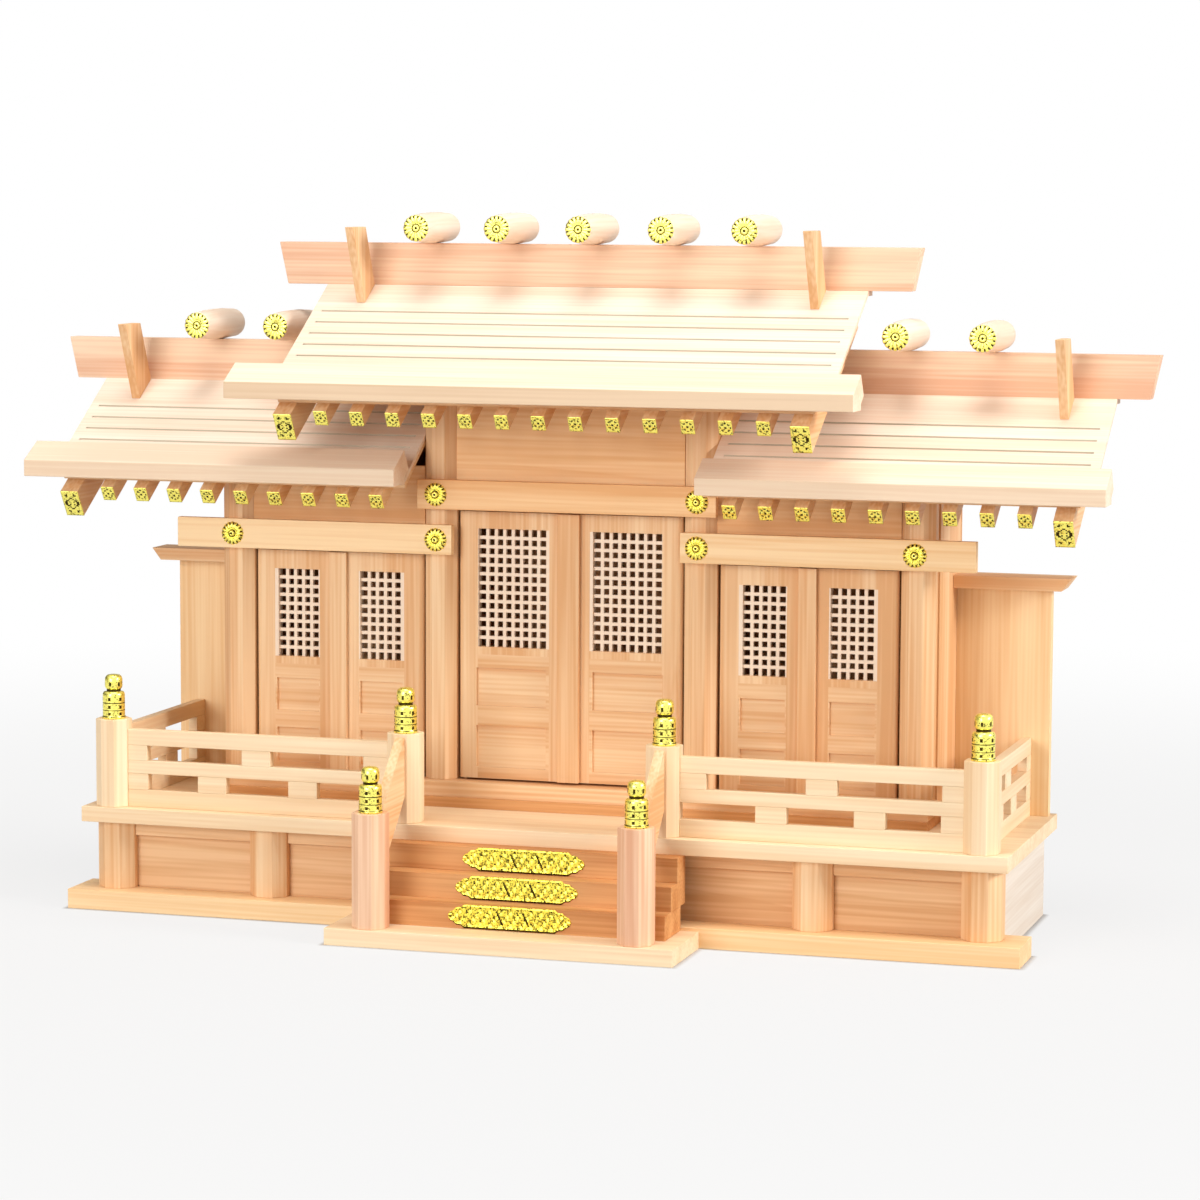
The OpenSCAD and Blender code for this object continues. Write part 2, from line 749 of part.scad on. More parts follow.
// One leaf: frame, lattice of cols by rows holes, two sunk panels and two pins.
// Drawn from the round hinge edge at x = 0 towards +X, z = 0 at its foot.
// stile and top are the widths of the frame beside the meeting edge and above the lattice.
module leaf(w, h, stile, top, cols, rows, cell, sunk) {
    lw = cols * cell;
    x0 = w - stile - lw;
    lz1 = h - top;
    lz0 = lz1 - rows * cell * 1.03;
    bar = 1.7;
    r = leaf_t / 2;
    translate([r, r, -pin_l]) cylinder(h = h + 2 * pin_l, r = pin_r, $fn = 32);
    difference() {
        union() {
            translate([r, 0, 0]) cube([w - r, leaf_t, h]);
            translate([r, r, 0]) cylinder(h = h, r = r, $fn = 48);
        }
        translate([x0, -1, lz0]) cube([lw, leaf_t + 2, lz1 - lz0]);
        for (p = sunk) translate([x0 - 1, -1, p[0]]) cube([lw + 1, 2.6, p[1] - p[0]]);
    }
    for (i = [1 : cols - 1])
        translate([x0 + i * cell - bar / 2, 1.5, lz0 - 1]) cube([bar, 2.4, lz1 - lz0 + 2]);
    for (k = [1 : rows - 1])
        translate([x0 - 1, 1.5, lz0 + k * cell * 1.03 - bar / 2]) cube([lw + 2, 2.4, bar]);
}

module center_leaf() {
    leaf(center_leaf_w, center_leaf_h, center_stile_w, 8.9, 8, 13, 4.66, [[6, 28.1], [38.6, 58.7]]);
}

module side_leaf() {
    leaf(side_leaf_w, side_leaf_h, side_stile_w, 9.9, 5, 10, 4.56, [[3.6, 22.1], [31.3, 48.7]]);
}

module door_center_left() {
    color("wheat") translate([-center_opening + leaf_gap, leaf_y, leaf_z]) center_leaf();
}
module door_center_right() {
    color("wheat") translate([center_opening - leaf_gap, leaf_y + tiny, leaf_z]) mirror([1, 0, 0]) center_leaf();
}
module door_left_left() {
    color("wheat") translate([-side_hi + leaf_gap, leaf_y, leaf_z]) side_leaf();
}
module door_left_right() {
    color("wheat") translate([-side_lo - leaf_gap, leaf_y + tiny, leaf_z]) mirror([1, 0, 0]) side_leaf();
}
module door_right_left() {
    color("wheat") translate([side_lo + leaf_gap, leaf_y, leaf_z]) side_leaf();
}
module door_right_right() {
    color("wheat") translate([side_hi - leaf_gap, leaf_y + tiny, leaf_z]) mirror([1, 0, 0]) side_leaf();
}

module strip(x, w, h) {
    color("wheat") block([x - w / 2, leaf_y - strip_t, leaf_z], [x + w / 2, leaf_y, leaf_z + h]);
}
module strip_center() { strip(0, center_strip_w, center_leaf_h); }
module strip_left() { strip(-side_mid, side_strip_w, side_leaf_h); }
module strip_right() { strip(side_mid, side_strip_w, side_leaf_h); }

front_sill();
rear_sill();
base_posts();
base_front();
base_sides();
base_back();
veranda_floor();
stair_plate();
step_lower();
step_middle();
step_upper();
stair_ornaments();
newel_posts();
handrails();
rail_posts();
post_caps();
front_rails();
side_rails();
rail_blocks();
wings();
wing_caps();
cabinet_deck();
threshold();
main_posts();
outer_posts();
side_walls();
inner_walls();
back_wall();
ceilings();
upper_walls();
center_beam();
side_beams();
rosettes();
center_rafters();
side_rafters();
center_roof_deck();
side_roof_decks();
center_roof_boards();
side_roof_boards();
center_eave();
side_eaves();
center_ridge();
side_ridges();
ridge_logs();
chigi();
gold_caps();
door_center_left();
door_center_right();
door_left_left();
door_left_right();
door_right_left();
door_right_right();
strip_center();
strip_left();
strip_right();
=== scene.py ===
# Looks of a household shrine: planed cypress boards, stamped gold fittings, a white studio.
import math

import bmesh
import bpy
import numpy as np
from mathutils import Matrix, Vector


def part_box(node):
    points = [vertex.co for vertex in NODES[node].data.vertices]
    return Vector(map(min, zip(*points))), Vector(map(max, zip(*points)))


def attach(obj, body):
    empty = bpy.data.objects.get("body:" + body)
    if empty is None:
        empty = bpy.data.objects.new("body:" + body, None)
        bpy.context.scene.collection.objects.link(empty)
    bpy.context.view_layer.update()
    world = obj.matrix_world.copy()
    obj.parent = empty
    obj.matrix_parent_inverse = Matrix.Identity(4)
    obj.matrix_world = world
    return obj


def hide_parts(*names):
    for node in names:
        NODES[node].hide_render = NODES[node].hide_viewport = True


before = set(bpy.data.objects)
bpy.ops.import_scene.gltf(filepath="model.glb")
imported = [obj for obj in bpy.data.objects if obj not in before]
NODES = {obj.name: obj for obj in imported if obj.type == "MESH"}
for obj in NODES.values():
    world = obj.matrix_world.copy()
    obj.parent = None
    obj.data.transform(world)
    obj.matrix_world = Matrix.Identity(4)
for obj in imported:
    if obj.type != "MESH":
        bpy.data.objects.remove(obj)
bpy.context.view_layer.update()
MM = 0.001
SCENE = bpy.context.scene
WHITE = (1, 1, 1, 1)


def add_object(name, data):
    made = bpy.data.objects.new(name, data)
    SCENE.collection.objects.link(made)
    return made


# Camera

AZIMUTH, ELEVATION, ROLL = (math.radians(a) for a in (16.7186, 6.3233, 0.2632))
EYE = Vector((0.5836, -1.8678, 0.3839))
FOCAL_PIXELS, FRAME_PIXELS, SENSOR = 3812.0, 1200.0, 36.0


def make_camera():
    """Stands where the photo was taken from."""
    back = Vector((math.sin(AZIMUTH) * math.cos(ELEVATION),
                   -math.cos(AZIMUTH) * math.cos(ELEVATION), math.sin(ELEVATION)))
    right = Vector((math.cos(AZIMUTH), math.sin(AZIMUTH), 0))
    up = back.cross(right)
    turned_right = right * math.cos(ROLL) + up * math.sin(ROLL)
    turned_up = up * math.cos(ROLL) - right * math.sin(ROLL)
    data = bpy.data.cameras.new("camera")
    data.sensor_width = SENSOR
    data.lens = FOCAL_PIXELS / FRAME_PIXELS * SENSOR
    data.clip_start, data.clip_end = 0.05, 50
    camera = add_object("camera", data)
    turn = Matrix((turned_right, turned_up, back)).transposed()
    camera.matrix_world = Matrix.Translation(EYE) @ turn.to_4x4()
    SCENE.camera = camera


# Node trees

# For each direction of the grain, that axis and then the two across it
LENGTHWISE = {"X": (0, 1, 2), "Y": (1, 0, 2), "Z": (2, 0, 1)}


class Tree:
    """A small helper that adds and links shader nodes."""

    def __init__(self, tree):
        self.tree = tree
        tree.nodes.clear()

    def node(self, kind, inputs=(), **settings):
        made = self.tree.nodes.new(kind)
        for name, value in settings.items():
            setattr(made, name, value)
        for key, value in dict(inputs).items():
            self.put(made.inputs[key], value)
        return made

    def put(self, socket, value):
        if isinstance(value, bpy.types.NodeSocket):
            self.tree.links.new(value, socket)
        else:
            socket.default_value = value

    def math(self, operation, a, b=0.0, c=0.0):
        return self.node("ShaderNodeMath", {0: a, 1: b, 2: c}, operation=operation).outputs[0]

    def vector(self, operation, a, b=(0, 0, 0)):
        made = self.node("ShaderNodeVectorMath", {0: a, 1: b}, operation=operation).outputs
        return made["Value" if operation in ("LENGTH", "DOT_PRODUCT") else "Vector"]

    def between(self, value, low, high):
        """1 where the value lies between low and high, else 0."""
        return self.math("MULTIPLY", self.math("GREATER_THAN", value, low),
                         self.math("LESS_THAN", value, high))

    def blend(self, factor, a, b):
        return self.math("MULTIPLY_ADD", self.math("SUBTRACT", b, a), factor, a)

    def smooth(self, value, low, high):
        """Rises smoothly from 0 at low to 1 at high."""
        return self.node("ShaderNodeMapRange",
                         {"Value": value, "From Min": low, "From Max": high},
                         interpolation_type="SMOOTHSTEP").outputs[0]

    def coordinates(self, kind="Object"):
        return self.node("ShaderNodeTexCoord").outputs[kind]

    def split(self, vector):
        return self.node("ShaderNodeSeparateXYZ", {0: vector}).outputs

    def stretched(self, point, axis, along, across):
        """The point scaled by one number along the grain and by another across it."""
        scale = [across] * 3
        scale[LENGTHWISE[axis][0]] = along
        return self.node("ShaderNodeMapping", {"Vector": point, "Scale": tuple(scale)}).outputs[0]

    def noise(self, inputs, **settings):
        return self.node("ShaderNodeTexNoise", inputs, **settings).outputs[0]

    def mix(self, factor, a, b):
        made = self.node("ShaderNodeMix", data_type="RGBA", blend_type="MIX")
        for name, value in (("Factor_Float", factor), ("A_Color", a), ("B_Color", b)):
            self.put(next(s for s in made.inputs if s.identifier == name), value)
        return next(s for s in made.outputs if s.identifier == "Result_Color")

    def ramp(self, factor, stops):
        made = self.node("ShaderNodeValToRGB", {"Fac": factor})
        points = made.color_ramp.elements
        while len(points) < len(stops):
            points.new(0.5)
        for point, (place, value) in zip(points, stops):
            point.position = place
            point.color = (value, value, value, 1)
        return made.outputs["Color"]


def new_material(name):
    """A new material with an empty tree, and the helper for that tree."""
    material = bpy.data.materials.new(name)
    material.use_nodes = True
    return material, Tree(material.node_tree)


def linear(r, g, b):
    """Linear colour of an sRGB colour given from 0 to 255."""
    def one(v):
        v /= 255
        return v / 12.92 if v <= 0.04045 else ((v + 0.055) / 1.055) ** 2.4
    return one(r), one(g), one(b), 1.0


# Wood

# Light and dark tone of each kind of board
TONES = {
    "peach": (linear(240, 203, 159), linear(222, 168, 116)),
    "panel": (linear(234, 192, 146), linear(212, 160, 110)),
    "warm": (linear(246, 202, 150), linear(230, 172, 114)),
    "bright": (linear(250, 217, 170), linear(238, 194, 140)),
    "pink": (linear(236, 196, 162), linear(216, 160, 124)),
    "blush": (linear(242, 208, 176), linear(226, 174, 140)),
    "cream": (linear(242, 218, 182), linear(232, 198, 156)),
    "pale": (linear(244, 226, 206), linear(236, 208, 182)),
    "eave": (linear(245, 224, 200), linear(237, 207, 178)),
    "plain": (linear(230, 218, 204), linear(218, 200, 182)),
    # Painted shade for boards in recesses or inside the cabinet: the steps, the deck before the
    # doors, the inner walls, the back wall and the ceilings
    "shaded": (linear(216, 160, 104), linear(190, 126, 72)),
    # Painted shade for the walls of the saw cuts in the roof boards
    "cut": (linear(214, 198, 174), linear(196, 178, 152)),
}

# Node: grain, tones, pith in mm, ring spacing in mm, tilt
BOARDS = {
    "front_sill": ("X", "bright", (40, 90), 2.6, 0.01),
    "rear_sill": ("X", "peach", (40, 90), 2.6, 0.01),
    "base_posts": ("Z", "peach", (20, 160), 2.2, 0.0),
    "base_front": ("X", "panel", (-50, 18), 2.6, 0.035),
    "base_sides": ("Y", "plain", (180, 10), 2.6, 0.03),
    "base_back": ("X", "peach", (110, 25), 2.6, 0.03),
    "veranda_floor": ("X", "cream", (10, 10), 3.0, 0.02),
    "stair_plate": ("X", "cream", (-60, -60), 2.8, 0.02),
    "step_lower": ("X", "shaded", (-20, -60), 2.4, 0.02),
    "step_middle": ("X", "shaded", (-10, -30), 2.6, -0.02),
    "step_upper": ("X", "shaded", (0, -50), 2.2, 0.03),
    "newel_posts": ("Z", "pink", (30, -200), 1.9, 0.0),
    "handrails": ("Y", "peach", (0, 10), 2.2, 0.0),
    "rail_posts": ("Z", "cream", (70, -190), 1.9, 0.0),
    "front_rails": ("X", "cream", (60, 0), 2.2, 0.01),
    "side_rails": ("Y", "cream", (0, -30), 2.2, 0.01),
    "rail_blocks": ("X", "cream", (50, -20), 2.2, 0.0),
    "wings": ("Z", "bright", (150, 200), 2.6, 0.02),
    "wing_caps": ("X", "peach", (10, 80), 2.2, 0.0),
    "cabinet_deck": ("X", "shaded", (-30, -20), 2.4, 0.02),
    "threshold": ("X", "peach", (-60, 20), 2.6, 0.01),
    "main_posts": ("Z", "peach", (0, -90), 2.2, 0.0),
    "outer_posts": ("Z", "peach", (20, -110), 2.0, 0.0),
    "side_walls": ("Z", "peach", (90, 180), 2.6, 0.02),
    "inner_walls": ("Z", "shaded", (30, 160), 2.6, 0.02),
    "back_wall": ("X", "shaded", (130, 120), 3.0, 0.03),
    "ceilings": ("X", "shaded", (40, 150), 3.0, 0.03),
    "upper_walls": ("X", "warm", (-20, 225), 2.8, 0.02),
    "center_beam": ("X", "warm", (60, 250), 2.4, 0.01),
    "side_beams": ("X", "bright", (60, 230), 2.2, 0.01),
    "center_rafters": ("Y", "peach", (0, 180), 2.2, 0.0),
    "side_rafters": ("Y", "peach", (0, 130), 2.2, 0.0),
    "center_roof_deck": ("X", "peach", (0, 200), 2.6, 0.02),
    "side_roof_decks": ("X", "peach", (0, 150), 2.6, 0.02),
    "center_roof_boards": ("X", "pale", (0, 180), 3.4, 0.01),
    "side_roof_boards": ("X", "pale", (30, 120), 3.4, 0.01),
    "center_eave": ("X", "eave", (-40, 180), 3.2, 0.01),
    "side_eaves": ("X", "eave", (-40, 120), 3.2, 0.01),
    "center_ridge": ("X", "blush", (110, 390), 2.4, 0.01),
    "side_ridges": ("X", "blush", (100, 330), 2.4, 0.015),
    "ridge_logs": ("Y", "pale", (10, 330), 1.6, 0.0),
    "chigi": ("Z", "peach", (30, -60), 2.0, 0.0),
    "strip_center": ("Z", "peach", (15, -30), 2.2, 0.01),
    "strip_left": ("Z", "peach", (-100, -30), 2.2, 0.01),
    "strip_right": ("Z", "peach", (100, -30), 2.2, 0.01),
}
# Light and dark tone of the front edges of the eaves, painted darker than their tops as shade
PAINTED_FRONT_SHADE = {
    "center_eave": (linear(226, 197, 164), linear(213, 180, 145)),
    "side_eaves": (linear(236, 213, 186), linear(227, 197, 166)),
}
FRONT_FACING = -0.75

# Slow drift of the rings: its noise along and across the grain, and how far it moves them in metres
DRIFT_ALONG, DRIFT_ACROSS, DRIFT = 2.6, 32.0, 0.006
# Share of a board's tilt that the pith has in depth
DEPTH_TILT = 0.6
# Uneven width of the rings: its noise, and how many rings it adds at most
UNEVEN_NOISE, UNEVEN = 0.6, 1.2
# Shade from one ring's early wood to its late wood
RING_SHADE = [(0.0, 0.0), (0.4, 0.1), (0.78, 0.55), (0.92, 1.0), (1.0, 0.0)]
# How strongly single rings show: its noise, its spread and its start
STRENGTH_NOISE, STRENGTH_SPREAD, STRENGTH_START = 3.7, 2.2, -0.5


def rings(t, point, axis, pith, spacing, tilt):
    """Growth rings round a pith that runs along the grain. 0 is early wood and 1 is late wood."""
    along, side, depth = LENGTHWISE[axis]
    place = t.split(point)
    slow = t.stretched(point, axis, DRIFT_ALONG, DRIFT_ACROSS)
    drift = t.noise({"Vector": slow, "Scale": 1.0, "Detail": 0.0})
    shift = t.math("MULTIPLY_ADD", drift, DRIFT, -DRIFT / 2)

    def off(direction, middle, lean):
        """Distance from the leaning pith in one direction."""
        return t.math("ADD", t.math("SUBTRACT", place[direction], middle * MM),
                      t.math("MULTIPLY", place[along], lean))
    a, b = off(side, pith[0], tilt), off(depth, pith[1], tilt * DEPTH_TILT)
    far = t.math("SQRT", t.math("ADD", t.math("MULTIPLY", a, a), t.math("MULTIPLY", b, b)))
    turns = t.math("DIVIDE", t.math("ADD", far, shift), spacing * MM)
    uneven = t.noise({"W": turns, "Scale": UNEVEN_NOISE, "Detail": 0.0}, noise_dimensions="1D")
    turns = t.math("ADD", turns, t.math("MULTIPLY", uneven, UNEVEN))
    shade = t.ramp(t.math("FRACT", turns), RING_SHADE)
    strength = t.noise({"W": t.math("FLOOR", turns), "Scale": STRENGTH_NOISE, "Detail": 0.0},
                       noise_dimensions="1D")
    strength = t.math("MULTIPLY_ADD", strength, STRENGTH_SPREAD, STRENGTH_START)
    return t.math("MULTIPLY", shade, strength)


# Noise of the broad streaks and of the thin fibres, and how far both are drawn out
STREAKS, FIBRES, DRAWN_OUT = 75.0, 700.0, 0.02
# Part of the streaks' noise that goes from light to dark
STREAK_SHADE = [(0.3, 0.0), (0.7, 1.0)]
RING_SHARE, FIBRE_SHARE = 0.3, 1.2
# How much paler the bars of the lattice are than the rest of a leaf
BARS_PALE = 0.8
WOOD_ROUGH, WOOD_SHINE = 0.55, 0.3


def fibres(t, point, axis, fine, detail):
    """Thin stretched streaks along the grain, about 0.5 on average."""
    drawn = t.stretched(point, axis, fine * DRAWN_OUT, fine)
    return t.noise({"Vector": drawn, "Scale": 1.0, "Detail": detail, "Roughness": 0.6})


def wood(name, axis, tones, pith, spacing, tilt, panel=None, front=None):
    """Planed softwood. panel, if given, is ((x0, x1), z, top) in metres, for a door leaf. Between
    x0 and x1 the grain lies across below z, and from z to top lie the paler bars of the lattice.
    front, if given, holds the two tones of painted shade for the sides that face the front."""
    material, t = new_material(name)
    point = t.coordinates()
    ring = rings(t, point, axis, pith, spacing, tilt)
    band = fibres(t, point, axis, STREAKS, 1.0)
    fibre = fibres(t, point, axis, FIBRES, 0.0)
    if panel:
        (x0, x1), z, top = panel
        place = t.split(point)
        inside = t.between(place[0], x0, x1)
        bars = t.math("MULTIPLY", inside, t.between(place[2], z + LATTICE_RAIL, top))
        inside = t.math("MULTIPLY", inside, t.math("LESS_THAN", place[2], z))
        band = t.blend(inside, band, fibres(t, point, "X", STREAKS, 1.0))
        fibre = t.blend(inside, fibre, fibres(t, point, "X", FIBRES, 0.0))
        ring = t.math("MULTIPLY", ring, t.math("SUBTRACT", 1.0, inside))
    streak = t.ramp(band, STREAK_SHADE)
    fibre = t.math("MULTIPLY_ADD", fibre, FIBRE_SHARE, -FIBRE_SHARE / 2)
    amount = t.math("ADD", t.math("MULTIPLY", ring, RING_SHARE), t.math("ADD", fibre, streak))
    amount = t.node("ShaderNodeClamp", {0: amount}).outputs[0]
    colour = t.mix(amount, *tones)
    if panel:
        colour = t.mix(t.math("MULTIPLY", bars, BARS_PALE), colour, TONES["pale"][0])
    # Sides that face the front get the darker tones: painted shade
    if front:
        across = t.split(t.coordinates("Normal"))[1]
        colour = t.mix(t.math("LESS_THAN", across, FRONT_FACING), colour, t.mix(amount, *front))
    shader = t.node("ShaderNodeBsdfPrincipled", {"Base Color": colour, "Roughness": WOOD_ROUGH})
    shader.inputs["Specular IOR Level"].default_value = WOOD_SHINE
    t.node("ShaderNodeOutputMaterial", {"Surface": shader.outputs[0]})
    return material


LEAVES = ("door_center_left", "door_center_right", "door_left_left", "door_left_right",
          "door_right_left", "door_right_right")
# Lattice of a leaf: frame above it, cell width in mm, and rows. CELL_TALL is height over width
LATTICES = {"center": (8.9, 4.66, 13), "side": (9.9, 4.56, 10)}
CELL_TALL = 1.03
STILE, LATTICE_RAIL, PIN = 10.6 * MM, 4 * MM, 4.4 * MM
# Pith of the first leaf in mm, and how far the next one's lies further on
LEAF_PITH, LEAF_PITH_STEP = (40, -40), 23

# Points nearer than this are one, and places nearer than this are level, both in metres
WELD, NEAR = 1e-6, 1e-5
# Width of a broken edge, its steps, and the smallest angle that is broken
EDGE, EDGE_STEPS, EDGE_ANGLE = 0.35 * MM, 2, math.radians(32)


def paint(node, material):
    for slot in NODES[node].material_slots:
        slot.material = material
    if not NODES[node].material_slots:
        NODES[node].data.materials.append(material)


def soften(node):
    """Breaks the sharp edges of a CAD node without touching its own mesh."""
    weld = NODES[node].modifiers.new("weld", "WELD")
    weld.merge_threshold = WELD
    bevel = NODES[node].modifiers.new("bevel", "BEVEL")
    bevel.width = EDGE
    bevel.segments = EDGE_STEPS
    bevel.limit_method = "ANGLE"
    bevel.angle_limit = EDGE_ANGLE
    bevel.harden_normals = True
    bevel.use_clamp_overlap = True


def dress_boards():
    for node, (axis, tone, *grain) in BOARDS.items():
        if node in CUTS:
            roof_boards(node)
            continue
        paint(node, wood("wood_" + node, axis, TONES[tone], *grain, front=PAINTED_FRONT_SHADE.get(node)))
        soften(node)
    for i, node in enumerate(LEAVES):
        lo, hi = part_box(node)
        head, cell, rows = LATTICES["center" if "center" in node else "side"]
        foot = (head + rows * cell * CELL_TALL) * MM
        panel = ((lo.x + STILE, hi.x - STILE), hi.z - PIN - foot - LATTICE_RAIL,
                 hi.z - PIN - head * MM)
        pith = (LEAF_PITH[0] + LEAF_PITH_STEP * i, LEAF_PITH[1])
        paint(node, wood("wood_" + node, "Z", TONES["peach"], pith, 2.4, 0.01, panel=panel))


# Solids of a node

def islands(node):
    """The separate solids of a CAD node, each as its points and its faces, which are given as
    (area, normal, centre)."""
    mesh = bmesh.new()
    mesh.from_mesh(NODES[node].data)
    bmesh.ops.remove_doubles(mesh, verts=mesh.verts, dist=WELD)
    mesh.verts.index_update()
    mesh.faces.index_update()
    seen, found = set(), []
    for start in mesh.verts:
        if start.index in seen:
            continue
        group, todo = [], [start]
        seen.add(start.index)
        while todo:
            vert = todo.pop()
            group.append(vert)
            for edge in vert.link_edges:
                other = edge.other_vert(vert)
                if other.index not in seen:
                    seen.add(other.index)
                    todo.append(other)
        faces = sorted({f for vert in group for f in vert.link_faces}, key=lambda f: f.index)
        found.append((np.array([v.co for v in group]),
                      [(f.calc_area(), f.normal.copy(), f.calc_center_median()) for f in faces]))
    mesh.free()
    found.sort(key=lambda item: tuple(np.round(item[0].mean(0), 5)))
    return found


def span(points):
    """Lowest corner, highest corner and middle of a solid's points."""
    lo, hi = points.min(0), points.max(0)
    return lo, hi, (lo + hi) / 2


# Roof boards with saw cuts along the slope. Node: first cut, pitch and number of cuts, in mm
CUTS = {"center_roof_boards": (35.9, 9.28, 5), "side_roof_boards": (37.0, 8.6, 4)}
CUT_HALF, CUT_DEEP, CUT_MARGIN = 0.6 * MM, 1.5 * MM, 5 * MM


def prism(mesh, outline, x0, x1, dark=()):
    """Adds a board with the given outline in y and z. dark holds the numbers of the outline's
    sides that are saw cuts, which get the second material: painted shade."""
    ends = [[mesh.verts.new((x, y, z)) for y, z in outline] for x in (x0, x1)]
    for i in range(len(outline)):
        k = (i + 1) % len(outline)
        side = mesh.faces.new((ends[0][i], ends[0][k], ends[1][k], ends[1][i]))
        side.material_index = int(i in dark)
    for end in ends:
        mesh.faces.new(end)


def roof_section(points):
    """Lower and upper line of a roof board's section at its outer end, from the front back."""
    outward = points[:, 0] * (1 if abs(points[:, 0].max()) >= abs(points[:, 0].min()) else -1)
    outer = points[np.abs(outward - outward.max()) < NEAR]
    section = sorted({(round(float(y), 5), round(float(z), 5)) for _, y, z in outer})
    levels = [[p for p in section if abs(p[0] - y) < 10 * NEAR]
              for y in sorted({y for y, _ in section})]
    return [level[0] for level in levels], [level[-1] for level in levels]


def roof_boards(node):
    """Redraws the boards of a roof with the cuts where they lie on the real one."""
    first, pitch, count = CUTS[node]
    mesh = bmesh.new()
    for points, _ in islands(node):
        lower, upper = roof_section(points)
        (y0, z0), (y1, z1) = upper[0], upper[1]
        top, dark = [upper[2], upper[1]], set()
        for i in range(count):
            y = (first - i * pitch) * MM
            back, front = y + CUT_HALF, y - CUT_HALF
            back_z, front_z = (z0 + (z1 - z0) * (v - y0) / (y1 - y0) for v in (back, front))
            place = len(lower) + len(top)
            dark |= {place, place + 1, place + 2}
            top += [(back, back_z), (back, back_z - CUT_DEEP),
                    (front, front_z - CUT_DEEP), (front, front_z)]
        x0, x1 = float(points[:, 0].min()), float(points[:, 0].max())
        prism(mesh, lower + top + [upper[0]], x0 + CUT_MARGIN, x1 - CUT_MARGIN, dark)
        for end in (x0, x1 - CUT_MARGIN):
            prism(mesh, lower + [upper[2], upper[1], upper[0]], end, end + CUT_MARGIN)
        behind = points[points[:, 1] > points[:, 1].max() - NEAR]
        far = float(behind[:, 1].max())
        rear = [lower[2], (far, float(behind[:, 2].min())), (far, float(behind[:, 2].max())),
                upper[2]]
        prism(mesh, rear, float(behind[:, 0].min()), float(behind[:, 0].max()))
    bmesh.ops.triangulate(mesh, faces=mesh.faces)
    bmesh.ops.recalc_face_normals(mesh, faces=mesh.faces)
    data = bpy.data.meshes.new("cut_" + node)
    mesh.to_mesh(data)
    mesh.free()
    axis, tone, *grain = BOARDS[node]
    data.materials.append(wood("wood_cut_" + node, axis, TONES[tone], *grain))
    # The second material is painted shade for the walls of the saw cuts
    data.materials.append(wood("shade_cut_" + node, axis, TONES["cut"], *grain))
    made = add_object("cut_" + node, data)
    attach(made, "shrine")
    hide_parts(node)


# Gold fittings

# Noise of the small pits, where it turns from pit to gold, and how far the share moves that
PIT_NOISE, PIT_EDGE, PIT_SPREAD = 1100.0, (0.3, 0.42), 0.3
# Share of the gold's colour that a pit keeps, as painted shade, and the strength and height in
# metres of the bumps
PIT_DARK, BUMP, BUMP_HIGH = 0.2, 0.5, 0.0001
METAL = 0.85


def gold(name, base, rough, speckle):
    """Pressed gold plate. speckle is the share of small pits, darkened with painted shade."""
    material, t = new_material(name)
    grain = t.noise({"Vector": t.coordinates(), "Scale": PIT_NOISE, "Detail": 1.0})
    pits = t.ramp(grain, [(PIT_EDGE[0] + speckle * PIT_SPREAD, 0.0),
                          (PIT_EDGE[1] + speckle * PIT_SPREAD, 1.0)])
    pit_shade = tuple(c * PIT_DARK for c in base[:3]) + (1.0,)
    bump = t.node("ShaderNodeBump", {"Strength": BUMP, "Distance": BUMP_HIGH, "Height": grain})
    shader = t.node("ShaderNodeBsdfPrincipled",
                    {"Base Color": t.mix(pits, pit_shade, base), "Metallic": METAL,
                     "Roughness": rough, "Normal": bump.outputs[0]})
    t.node("ShaderNodeOutputMaterial", {"Surface": shader.outputs[0]})
    return material


BRIGHT = gold("gold_bright", linear(255, 243, 120), 0.3, 0.05)
STAMPED = gold("gold_stamped", linear(253, 232, 86), 0.3, 0.27)
# Painted shade for the recesses of the pressed plates: partings and rings of the blossoms, ground,
# eyes and dots of the stamped caps, bands and dots of the turned caps, slots and hollows of the
# stair plates
PAINTED_RECESS_SHADE = gold("gold_painted_recess_shade", linear(66, 54, 8), 0.5, 0.2)
# Points of a plate nearer than this are one, in metres
SHEET_WELD = 1e-7


class Sheet:
    """Collects faces of two materials into one mesh piece: gold, and gold with painted shade for
    the recesses.
    """

    def __init__(self, bright=BRIGHT):
        self.points, self.faces, self.dark, self.bright = [], [], [], bright

    def grid(self, rows, closed, dark=None):
        """Joins neighbours in rows of points by quads. dark(i, j) says which are recessed and get
        the painted shade.
        """
        base, wide = len(self.points), len(rows[0])
        for row in rows:
            self.points += [tuple(p) for p in row]
        for i in range(len(rows) - 1):
            for j in range(wide if closed else wide - 1):
                k = (j + 1) % wide
                a, b = base + i * wide + j, base + i * wide + k
                self.faces.append((a, b, b + wide, a + wide))
                self.dark.append(bool(dark and dark(i, j)))

    def piece(self, name, body, replaced):
        mesh = bpy.data.meshes.new(name)
        mesh.from_pydata(self.points, [], self.faces)
        mesh.materials.append(self.bright)
        mesh.materials.append(PAINTED_RECESS_SHADE)
        mesh.polygons.foreach_set("material_index", [int(d) for d in self.dark])
        mesh.polygons.foreach_set("use_smooth", [True] * len(self.faces))
        work = bmesh.new()
        work.from_mesh(mesh)
        bmesh.ops.remove_doubles(work, verts=work.verts, dist=SHEET_WELD)
        bmesh.ops.recalc_face_normals(work, faces=work.faces)
        work.to_mesh(mesh)
        work.free()
        made = add_object(name, mesh)
        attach(made, body)
        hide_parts(replaced)


# Blossom: petals, points round a petal, and how blunt the petals are
PETALS, PETAL_STEPS, BLUNT = 16, 6, 0.55
# Relief and reach between two petals, and what a petal adds to them
PETAL_RELIEF, PETAL_REACH = (0.45, 0.55), (0.93, 0.07)
